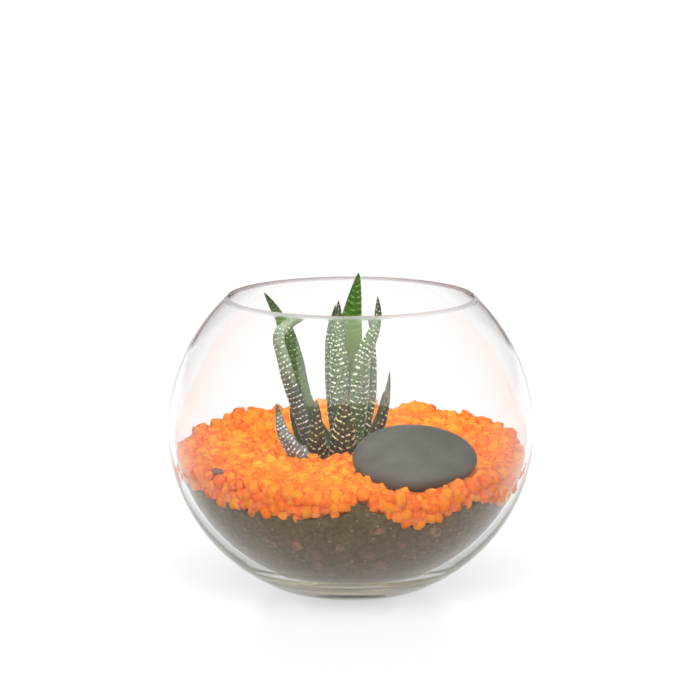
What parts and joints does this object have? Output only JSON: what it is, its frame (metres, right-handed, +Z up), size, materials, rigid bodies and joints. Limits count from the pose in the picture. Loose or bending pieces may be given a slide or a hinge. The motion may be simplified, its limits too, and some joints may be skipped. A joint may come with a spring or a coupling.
{
  "type": "haworthia terrarium in a glass bowl",
  "caption": "Ball-shaped clear glass bowl planted with a striped zebra haworthia in dark soil under bright orange gravel, with a smooth oval pebble beside it.",
  "frame": {"origin": "on the floor under the middle of the bowl", "axes": "+Z up along the bowl's axis, -Y the front where the pebble lies, +X to the right seen from the front"},
  "size_m": [0.15, 0.15, 0.1302],
  "materials": {
    "glass": "clear, polished, slightly green in the thick base",
    "soil": "matte damp potting soil with pale specks",
    "gravel": "matte dyed orange decorative gravel, rounded grains of 3 to 4 mm",
    "pebble": "smooth matte dark grey river pebble",
    "stem": "dull pale green plant tissue",
    "leaf": "firm succulent leaf, satin green with white raised tubercles in cross bands"
  },
  "bodies": {
    "root": {"glass_bowl": "glass", "soil": "soil", "gravel": "gravel", "pebble": "pebble", "stem_main": "stem", "stem_offset": "stem", "leaf_tall": "leaf", "leaf_left": "leaf", "leaf_right": "leaf", "leaf_left_back": "leaf", "leaf_back_tall": "leaf", "leaf_right_curled": "leaf", "leaf_front": "leaf", "leaf_right_low": "leaf", "leaf_back_right": "leaf", "leaf_back": "leaf", "leaf_back_left": "leaf", "leaf_offset_long": "leaf", "leaf_offset_curled": "leaf", "leaf_offset_front": "leaf", "leaf_offset_low": "leaf", "leaf_offset_back": "leaf"}
  },
  "joints": []
}
